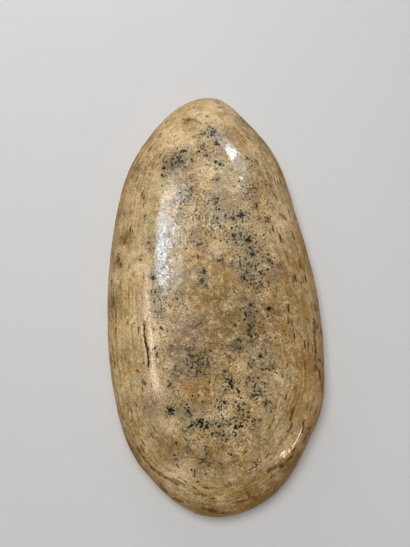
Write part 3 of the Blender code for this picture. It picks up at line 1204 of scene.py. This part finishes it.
    def _blotchy(
        self, tree: Tree, place: Socket, tone: Tone, order: int, reach: Socket | None = None
    ) -> Socket:
        """How much of one tone of the ground shows.

        Args:
            tree: the material's nodes.
            place: where on the stone, in millimetres.
            tone: the tone.
            order: its number, which sets its noise apart from the others'.
            reach: how far it shows at each place, where it doesn't show everywhere.

        Returns:
            A share from 0 to 1.
        """
        settings = {
            "noise_dimensions": "4D",
            "W": tone.apart * order,
            "Scale": 1 / tone.size,
            "Detail": tone.detail,
            "Roughness": tone.roughness,
        }
        level = add_node(tree, "ShaderNodeTexNoise", settings, {"Vector": place}).outputs[0]
        settings = {1: tone.starts, 2: tone.fills, 4: tone.strength}
        share = add_node(tree, "ShaderNodeMapRange", settings, {0: level}).outputs[0]
        if reach:
            share = add_node(tree, "ShaderNodeMath", TIMES, {0: share, 1: reach}).outputs[0]
        return share

    def _washed(self, tree: Tree, place: Socket, wash: Wash) -> Socket:
        """How much of a tint shows.

        Args:
            tree: the material's nodes.
            place: where on the stone, in millimetres.
            wash: the tint.

        Returns:
            A share from 0 to 1.
        """
        strength = add_node(tree, "ShaderNodeAttribute", {"attribute_name": wash.mark}).outputs["Fac"]
        settings = {"Scale": 1 / wash.size, "Detail": wash.detail, "Roughness": wash.roughness}
        level = add_node(tree, "ShaderNodeTexNoise", settings, {"Vector": place}).outputs[0]
        low, high = wash.levels
        settings = {1: low, 2: high, 3: wash.least, 4: wash.most}
        spread = add_node(tree, "ShaderNodeMapRange", settings, {0: level}).outputs[0]
        settings = {"operation": "MULTIPLY", "use_clamp": True}
        return add_node(tree, "ShaderNodeMath", settings, {0: strength, 1: spread}).outputs[0]

    def _grained(self, tree: Tree, colour: Socket, grain: Socket) -> Socket:
        """Draws sandy grain, darker and lighter than the ground, and fainter where the stone is quiet.

        Args:
            tree: the material's nodes.
            colour: the colour so far.
            grain: the grain's noise.

        Returns:
            The colour with the grain in it.
        """
        quiet = add_node(tree, "ShaderNodeAttribute", {"attribute_name": "quiet"}).outputs["Fac"]
        low, high = NOISE_SPAN
        darker, lighter = self.grain_swing
        settings = {1: low, 2: high, 3: darker, 4: lighter}
        swing = add_node(tree, "ShaderNodeMapRange", settings, {0: grain}).outputs[0]
        left = add_node(tree, "ShaderNodeMath", {"operation": "SUBTRACT", 0: 1.0}, {1: quiet}).outputs[0]
        settings = {"operation": "MULTIPLY_ADD", 2: 1.0}
        tone = add_node(tree, "ShaderNodeMath", settings, {0: swing, 1: left}).outputs[0]
        links = {0: colour, "Scale": tone}
        return add_node(tree, "ShaderNodeVectorMath", {"operation": "SCALE"}, links).outputs[0]

    def _dotted(self, tree: Tree, place: Socket, dots: Dots) -> Socket:
        """How much of the small marks shows.

        Args:
            tree: the material's nodes.
            place: where on the stone, in millimetres.
            dots: the marks.

        Returns:
            A share from 0 to 1.
        """
        settings = {"operation": "MULTIPLY", 1: tuple(1 / side for side in dots.cell)}
        cells = add_node(tree, "ShaderNodeVectorMath", settings, {0: place}).outputs[0]
        settings = {"Scale": dots.bends, "Detail": 1.0}
        bend = add_node(tree, "ShaderNodeTexNoise", settings, {"Vector": cells}).outputs["Color"]
        settings = {"operation": "MULTIPLY_ADD", 1: (dots.bend,) * 3}
        bent = add_node(tree, "ShaderNodeVectorMath", settings, {0: bend, 2: cells}).outputs[0]
        cell = add_node(tree, "ShaderNodeTexVoronoi", {"Scale": 1.0}, {"Vector": bent})
        own = add_node(tree, "ShaderNodeSeparateXYZ", {}, {0: cell.outputs["Color"]}).outputs
        crowd = add_node(tree, "ShaderNodeAttribute", {"attribute_name": dots.crowd}).outputs["Fac"]
        spare = add_node(tree, "ShaderNodeMath", MINUS, {0: crowd, 1: own[0]}).outputs[0]
        held = add_node(tree, "ShaderNodeMapRange", {2: dots.doubt}, {0: spare}).outputs[0]
        settings = {3: dots.smallest, 4: dots.largest}
        size = add_node(tree, "ShaderNodeMapRange", settings, {0: own[1]}).outputs[0]
        links = {0: size, 1: cell.outputs["Distance"]}
        inside = add_node(tree, "ShaderNodeMath", MINUS, links).outputs[0]
        share = add_node(tree, "ShaderNodeMapRange", {1: -dots.edge, 2: dots.edge}, {0: inside}).outputs[0]
        dark = add_node(tree, "ShaderNodeMapRange", {3: dots.faintest, 4: 1.0}, {0: own[2]}).outputs[0]
        for limit in (held, dark):
            share = add_node(tree, "ShaderNodeMath", TIMES, {0: share, 1: limit}).outputs[0]
        return share

    def _beaded(self, tree: Tree, grain: Socket, mark: str) -> Socket:
        """How much of a kind of bead shows.

        Args:
            tree: the material's nodes.
            grain: fine noise that makes the beads' edges ragged.
            mark: the attribute with how deep inside a bead a place is.

        Returns:
            A share from 0 to 1.
        """
        inside = add_node(tree, "ShaderNodeAttribute", {"attribute_name": mark}).outputs["Fac"]
        depth = add_node(tree, "ShaderNodeAttribute", {"attribute_name": mark + "_depth"}).outputs["Fac"]
        settings = {3: -self.bead_ragged, 4: self.bead_ragged}
        shift = add_node(tree, "ShaderNodeMapRange", settings, {0: grain}).outputs[0]
        edge = add_node(tree, "ShaderNodeMath", {"operation": "ADD"}, {0: inside, 1: shift}).outputs[0]
        starts, full = self.bead_edge
        share = add_node(tree, "ShaderNodeMapRange", {1: starts, 2: full}, {0: edge}).outputs[0]
        return add_node(tree, "ShaderNodeMath", TIMES, {0: share, 1: depth}).outputs[0]

    def _starred(self, tree: Tree, place: Socket, grain: Socket) -> Socket:
        """How much of the stars shows.

        Args:
            tree: the material's nodes.
            place: where on the stone, in millimetres.
            grain: fine noise that breaks the arms into beads.

        Returns:
            A share from 0 to 1.
        """
        stars = self.stars
        star = add_node(tree, "ShaderNodeAttribute", {"attribute_name": "star"}).outputs["Vector"]
        local = add_node(tree, "ShaderNodeSeparateXYZ", {}, {0: star}).outputs
        settings = {"operation": "MULTIPLY", 1: (1, 1, 0)}
        level = add_node(tree, "ShaderNodeVectorMath", settings, {0: star}).outputs[0]
        away = add_node(tree, "ShaderNodeVectorMath", {"operation": "LENGTH"}, {0: level}).outputs["Value"]
        links = {0: local[1], 1: local[0]}
        heading = add_node(tree, "ShaderNodeMath", {"operation": "ARCTAN2"}, links).outputs[0]
        settings = {"Scale": 1 / stars.wander}
        wander = add_node(tree, "ShaderNodeTexNoise", settings, {"Vector": place}).outputs[0]
        settings = {"operation": "MULTIPLY_ADD", 1: stars.bend}
        bent = add_node(tree, "ShaderNodeMath", settings, {0: wander, 2: heading}).outputs[0]
        settings = {"operation": "MULTIPLY", 1: stars.arms / 2}
        wave = add_node(tree, "ShaderNodeMath", settings, {0: bent}).outputs[0]
        wave = add_node(tree, "ShaderNodeMath", {"operation": "SINE"}, {0: wave}).outputs[0]
        wave = add_node(tree, "ShaderNodeMath", {"operation": "ABSOLUTE"}, {0: wave}).outputs[0]
        across = add_node(tree, "ShaderNodeMath", TIMES, {0: wave, 1: away}).outputs[0]
        middle, out = stars.widths
        width = add_node(tree, "ShaderNodeMapRange", {3: middle, 4: out}, {0: away}).outputs[0]
        low, high = NOISE_MIDDLE
        settings = {1: low, 2: high, 3: stars.beading[0], 4: stars.beading[1]}
        beaded = add_node(tree, "ShaderNodeMapRange", settings, {0: grain}).outputs[0]
        width = add_node(tree, "ShaderNodeMath", TIMES, {0: width, 1: beaded}).outputs[0]
        inside = add_node(tree, "ShaderNodeMath", MINUS, {0: width, 1: across}).outputs[0]
        starts, full = stars.edge
        share = add_node(tree, "ShaderNodeMapRange", {1: starts, 2: full}, {0: inside}).outputs[0]
        low, high = NOISE_SPAN
        settings = {1: low, 2: high, 3: stars.lengths[0], 4: stars.lengths[1]}
        end = add_node(tree, "ShaderNodeMapRange", settings, {0: wander}).outputs[0]
        short = add_node(tree, "ShaderNodeMath", MINUS, {0: end, 1: away}).outputs[0]
        reached = add_node(tree, "ShaderNodeMapRange", {2: stars.tip}, {0: short}).outputs[0]
        near = add_node(tree, "ShaderNodeMapRange", {1: stars.near}, {0: local[2]}).outputs[0]
        for limit in (reached, near):
            share = add_node(tree, "ShaderNodeMath", TIMES, {0: share, 1: limit}).outputs[0]
        return share

    def _pits(self, tree: Tree, place: Socket) -> Socket:
        """Finds the pits of the polish.

        Args:
            tree: the material's nodes.
            place: where on the stone, in millimetres.

        Returns:
            1 in the middle of a pit and 0 between the pits.
        """
        settings = {"Scale": 1 / self.pit_size, "Detail": 2.0, "Roughness": 0.5}
        off = add_node(tree, "ShaderNodeTexNoise", settings, {"Vector": place}).outputs[0]
        off = add_node(tree, "ShaderNodeMath", {"operation": "SUBTRACT", 1: 0.5}, {0: off}).outputs[0]
        off = add_node(tree, "ShaderNodeMath", {"operation": "ABSOLUTE"}, {0: off}).outputs[0]
        rim, full = self.pit_levels
        return add_node(tree, "ShaderNodeMapRange", {1: rim, 2: full}, {0: off}).outputs[0]

    def _gloss(self, tree: Tree, pits: Socket) -> Socket:
        """Works out how much polish there is: none where it's worn off, and little in the pits.

        Args:
            tree: the material's nodes.
            pits: where the pits are.

        Returns:
            A share from 0 to 1.
        """
        polish = add_node(tree, "ShaderNodeAttribute", {"attribute_name": "polish"}).outputs["Fac"]
        left = add_node(tree, "ShaderNodeMapRange", {3: 1.0, 4: self.pit_gloss}, {0: pits}).outputs[0]
        return add_node(tree, "ShaderNodeMath", TIMES, {0: polish, 1: left}).outputs[0]

    def _pitted(self, tree: Tree, place: Socket, pits: Socket) -> Socket:
        """Makes the polish uneven: a faint ripple, broken by the pits.

        Args:
            tree: the material's nodes.
            place: where on the stone, in millimetres.
            pits: where the pits are.

        Returns:
            The polish's normal.
        """
        settings = {"Scale": 1 / self.ripple_size, "Detail": 1.0}
        ripple = add_node(tree, "ShaderNodeTexNoise", settings, {"Vector": place}).outputs[0]
        settings = {"operation": "MULTIPLY_ADD", 1: self.ripple}
        height = add_node(tree, "ShaderNodeMath", settings, {0: ripple, 2: pits}).outputs[0]
        settings = {"Strength": 1.0, "Distance": -self.pit_depth * MM}
        return add_node(tree, "ShaderNodeBump", settings, {"Height": height}).outputs[0]


@dataclass
class PalmStone:
    """The whole stone: its form, its relief and its markings in one mesh.

    Attributes:
        form: the smooth form.
        relief: what stands out of it.
        patches: where the tints lie.
        growths: where the manganese oxide has grown.
        streaks: where the iron-stained streaks and the crack run.
        finish: the stone's material.
        flank_quiet: how much of the grain the flanks' fine beds hide.
        smooth_quiet: how much of it the smooth patches hide.
        speck_crowd: what share of the cells holds a brown speck.
        dash_crowds: what share holds a dash on the top, what more on the flanks, and what more in
            the low edge's deepest stain.
        dash_bare: how much of the dashes the smooth patches lack.
        search: how far round a bead its points are looked for.
        torn_reach: how far from the crack's oxide the polish is whole again.
    """

    form: StoneForm = field(default_factory=StoneForm)
    relief: Relief = field(default_factory=Relief)
    patches: Patches = field(default_factory=Patches)
    growths: Growths = field(default_factory=Growths)
    streaks: Streaks = field(default_factory=Streaks)
    finish: PolishedLimestone = field(default_factory=PolishedLimestone)
    flank_quiet: float = 0.45
    smooth_quiet: float = 0.65
    speck_crowd: float = 0.10
    dash_crowds: tuple[float, float, float] = (0.04, 0.3, 0.3)
    dash_bare: float = 0.7
    search: float = 0.45
    torn_reach: float = 0.25

    def build(self) -> bpy.types.Object:
        """Makes the stone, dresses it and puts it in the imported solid's place.

        Returns:
            The stone's object.
        """
        rings = self.form.rings()
        points = rings.reshape(-1, 3)
        mesh = bpy.data.meshes.new(PIECE)
        mesh.from_pydata((points * MM).tolist(), [], self.form.faces(len(rings)))
        normals = np.zeros(points.size, np.float32)
        mesh.vertex_normals.foreach_get("vector", normals)
        normals = normals.reshape(-1, 3)
        raised = points + normals * self.relief.depth(points, normals, self.streaks.crack)[:, None]
        raised[:, 2] = np.maximum(raised[:, 2], 0.0)
        mesh.vertices.foreach_set("co", (raised * MM).ravel())
        self._mark(mesh, points)
        mesh.shade_smooth()
        mesh.materials.append(self.finish.material())
        stone = bpy.data.objects.new(PIECE, mesh)
        bpy.context.scene.collection.objects.link(stone)
        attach(stone, BODY)
        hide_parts(NODE)
        return stone

    def _mark(self, mesh: bpy.types.Mesh, points: Array) -> None:
        """Stores what the material reads at each point of the mesh.

        Args:
            mesh: the stone's mesh.
            points: its points on the smooth form.
        """
        upper = points[:, 2] > self.form.girdle_height / 2
        flank = self.form.flankness()
        rim = self.form.rimness(points)
        smooth = self.patches.strength(self.patches.smooth, points)
        on_top, on_flank, on_rim = self.dash_crowds
        crack_beads = self.streaks.crack_beads()
        crack_inside, _ = self._beaded(points, crack_beads)
        torn = np.clip(1 + crack_inside / self.torn_reach, 0, 1)
        torn = np.maximum(torn, self.relief.in_crack(points, self.streaks.crack))
        tints = self.patches.places.items()
        values = {tint.value: self.patches.strength(places, points) * upper for tint, places in tints}
        values["flank"] = flank
        values["rim"] = rim
        values["quiet"] = np.maximum(self.flank_quiet * flank, self.smooth_quiet * smooth)
        values["polish"] = self.form.polish(points) * (1 - torn)
        values["haze"] = self.growths.haze(points) * upper
        values["dots"] = self.growths.crowding(points) * upper
        values["specks"] = self.speck_crowd * upper * (1 - smooth)
        values["dashes"] = (on_top + on_flank * flank) * (1 - self.dash_bare * smooth) + on_rim * rim * flank
        values["ink"], values["ink_depth"] = self._beaded(points, self.growths.grow() + crack_beads)
        values["stain"], values["stain_depth"] = self._beaded(points, self.streaks.beads())
        for name, value in values.items():
            held = mesh.attributes.new(name, "FLOAT", "POINT")
            held.data.foreach_set("value", value.astype(np.float32))
        for name, value in (("bed", self.form.bedding(points)), ("star", self.growths.stars(points))):
            held = mesh.attributes.new(name, "FLOAT_VECTOR", "POINT")
            held.data.foreach_set("vector", value.astype(np.float32).ravel())

    def _beaded(self, points: Array, beads: list) -> tuple[Array, Array]:
        """How deep inside the nearest bead each point lies.

        Args:
            points: the mesh's points.
            beads: x, y, radius and depth of tone of each bead.

        Returns:
            Millimetres inside a bead's edge, negative outside it, and that bead's depth of tone.
        """
        over = np.flatnonzero(points[:, 2] >= self.form.girdle_height)
        plan = kdtree.KDTree(len(over))
        solid = kdtree.KDTree(len(over))
        for index in over:
            x, y, z = points[index]
            plan.insert((x, y, 0), index)
            solid.insert((x, y, z), index)
        plan.balance()
        solid.balance()
        inside = np.full(len(points), -self.search)
        depth = np.zeros(len(points))
        for x, y, radius, tone in beads:
            height = points[plan.find((x, y, 0))[1], 2]
            for _, index, distance in solid.find_range((x, y, height), self.search):
                if radius - distance > inside[index]:
                    inside[index] = radius - distance
                    depth[index] = tone
        return inside, depth


class Duty(Enum):
    """What a lamp is hung for."""

    LIGHT = "light"
    GLINT = "glint"


@dataclass
class Lamp:
    """One soft area light, hung square to the stone's width.

    Attributes:
        name: what it stands for in the room.
        azimuth: the way to it from the stone, in degrees from +X towards +Y.
        elevation: how high it stands.
        distance: how far off it is.
        size: its width and height.
        brightness: how bright its face is, where a white page in full light is 1.
        colour: its sRGB colour.
        duty: whether it lights the stone or only shows in the polish.
        turn: how far its face is turned about the way to it, in degrees.
    """

    name: str
    azimuth: float
    elevation: float
    distance: float
    size: tuple[float, float]
    brightness: float
    colour: str
    duty: Duty
    turn: float = 0.0

    def build(self) -> bpy.types.Object:
        """Hangs the light, facing the stone.

        Returns:
            The light's object.
        """
        width, height = (side * MM for side in self.size)
        data = bpy.data.lights.new(self.name, "AREA")
        data.shape = "RECTANGLE"
        data.size = width
        data.size_y = height
        data.energy = self.brightness * math.pi * width * height
        data.color = linear(self.colour)[:3]
        turn = math.radians(self.azimuth)
        rise = math.radians(self.elevation)
        away = Vector((math.cos(turn) * math.cos(rise), math.sin(turn) * math.cos(rise), math.sin(rise)))
        across = (Vector((1, 0, 0)) - away * away.x).normalized()
        light = bpy.data.objects.new(self.name, data)
        light.location = away * self.distance * MM
        facing = Matrix((across, away.cross(across), away)).transposed()
        light.rotation_euler = (facing @ Matrix.Rotation(math.radians(self.turn), 3, "Z")).to_euler()
        light.visible_camera = False
        light.visible_glossy = self.duty is Duty.GLINT
        light.visible_diffuse = self.duty is Duty.LIGHT
        bpy.context.scene.collection.objects.link(light)
        return light


@dataclass(frozen=True)
class MattPaint:
    """Pale matt paint, rolled on: even in colour, and with no highlight to speak of.

    Attributes:
        colour: its sRGB colour.
        roughness: how rough it is.
        gloss: its specular level, lower than a shiny paint's.
    """

    colour: str = "#DADADB"
    roughness: float = 0.9
    gloss: float = 0.2

    def material(self) -> bpy.types.Material:
        """Builds the paint's material.

        Returns:
            The material.
        """
        paint = bpy.data.materials.new("pale_matt_paint")
        paint.use_nodes = True
        shader = paint.node_tree.nodes["Principled BSDF"]
        shader.inputs["Base Color"].default_value = linear(self.colour)
        shader.inputs["Roughness"].default_value = self.roughness
        shader.inputs["Specular IOR Level"].default_value = self.gloss
        return paint


@dataclass
class Studio:
    """A plain pale floor, soft lights and the camera, held over the stone and tipped a little.

    Attributes:
        floor_paint: the floor's finish.
        floor_half: half the floor's width.
        floor_gap: how far the floor lies under the stone's base, so that the two don't share a plane.
        world_colour: the surround's sRGB colour.
        world_strength: how bright the surround is.
        lens: the camera's focal length.
        tilt: how far the camera is tipped from looking straight down.
        swing: how far it is turned.
        aim: what it looks at.
        distance: how far it is from that.
        lamps: the lamps: two that light the stone, and five that only show in its polish.
    """

    floor_paint: MattPaint = field(default_factory=MattPaint)
    floor_half: float = 4000.0
    floor_gap: float = 0.02
    world_colour: str = "#D9DCE2"
    world_strength: float = 0.18
    lens: float = 54.07
    tilt: float = 12.1
    swing: float = -3.8
    aim: tuple[float, float, float] = (-1.2, 6.5, 0.0)
    distance: float = 184.3
    lamps: tuple[Lamp, ...] = (
        Lamp("skylight", 132.0, 82.0, 500.0, (225.0, 225.0), 10.8, "#FFFDFA", Duty.LIGHT),
        Lamp("low_sky", 105.0, 30.0, 200.0, (120.0, 60.0), 2.9, "#FFFDFA", Duty.LIGHT),
        Lamp("window", 132.0, 69.6, 500.0, (118.0, 45.0), 23.5, "#BCDDFF", Duty.GLINT, -9.0),
        Lamp("window_side", 128.0, 67.0, 500.0, (150.0, 66.0), 16.0, "#BCDDFF", Duty.GLINT, -11.0),
        Lamp("ceiling_tube", 57.0, 50.4, 700.0, (50.0, 340.0), 54.0, "#E0F2FF", Duty.GLINT, -48.0),
        Lamp("wall", -36.5, 25.3, 500.0, (160.0, 24.0), 58.0, "#FFE4BC", Duty.GLINT, -4.0),
        Lamp("curtain", 172.7, 52.8, 500.0, (90.0, 190.0), 14.0, "#FFEADF", Duty.GLINT, -5.0),
    )

    def build(self) -> None:
        """Makes the floor, the light and the camera."""
        self._floor()
        self._world()
        for lamp in self.lamps:
            lamp.build()
        self._camera()

    def _floor(self) -> None:
        """A wide pale matt floor just under the stone's base."""
        half = self.floor_half * MM
        low = -self.floor_gap * MM
        mesh = bpy.data.meshes.new("floor")
        corners = [(-half, -half, low), (half, -half, low), (half, half, low), (-half, half, low)]
        mesh.from_pydata(corners, [], [(0, 1, 2, 3)])
        mesh.materials.append(self.floor_paint.material())
        floor = bpy.data.objects.new("floor", mesh)
        bpy.context.scene.collection.objects.link(floor)

    def _world(self) -> None:
        """An even pale surround."""
        world = bpy.data.worlds.new("surround")
        world.use_nodes = True
        background = world.node_tree.nodes["Background"]
        background.inputs["Color"].default_value = linear(self.world_colour)
        background.inputs["Strength"].default_value = self.world_strength
        bpy.context.scene.world = world

    def _camera(self) -> None:
        """The camera, tipped by the tilt and turned by the swing, looking at the aim."""
        data = bpy.data.cameras.new("camera")
        data.lens = self.lens
        camera = bpy.data.objects.new("camera", data)
        turned = Euler((math.radians(self.tilt), 0, math.radians(self.swing)), "XYZ")
        camera.rotation_euler = turned
        back = turned.to_matrix() @ Vector((0, 0, 1))
        camera.location = (Vector(self.aim) + back * self.distance) * MM
        bpy.context.scene.collection.objects.link(camera)
        bpy.context.scene.camera = camera


def main() -> None:
    """Builds the stone and the studio."""
    logging.basicConfig(level=logging.INFO, format="%(name)s: %(message)s")
    bpy.context.scene.view_settings.view_transform = "Standard"
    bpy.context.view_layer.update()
    stone = PalmStone().build()
    LOG.info("%s: %d points, %d faces", stone.name, len(stone.data.vertices), len(stone.data.polygons))
    Studio().build()
    LOG.info("studio: floor, lights and camera")
    bpy.context.view_layer.update()


if __name__ == "__main__":
    main()
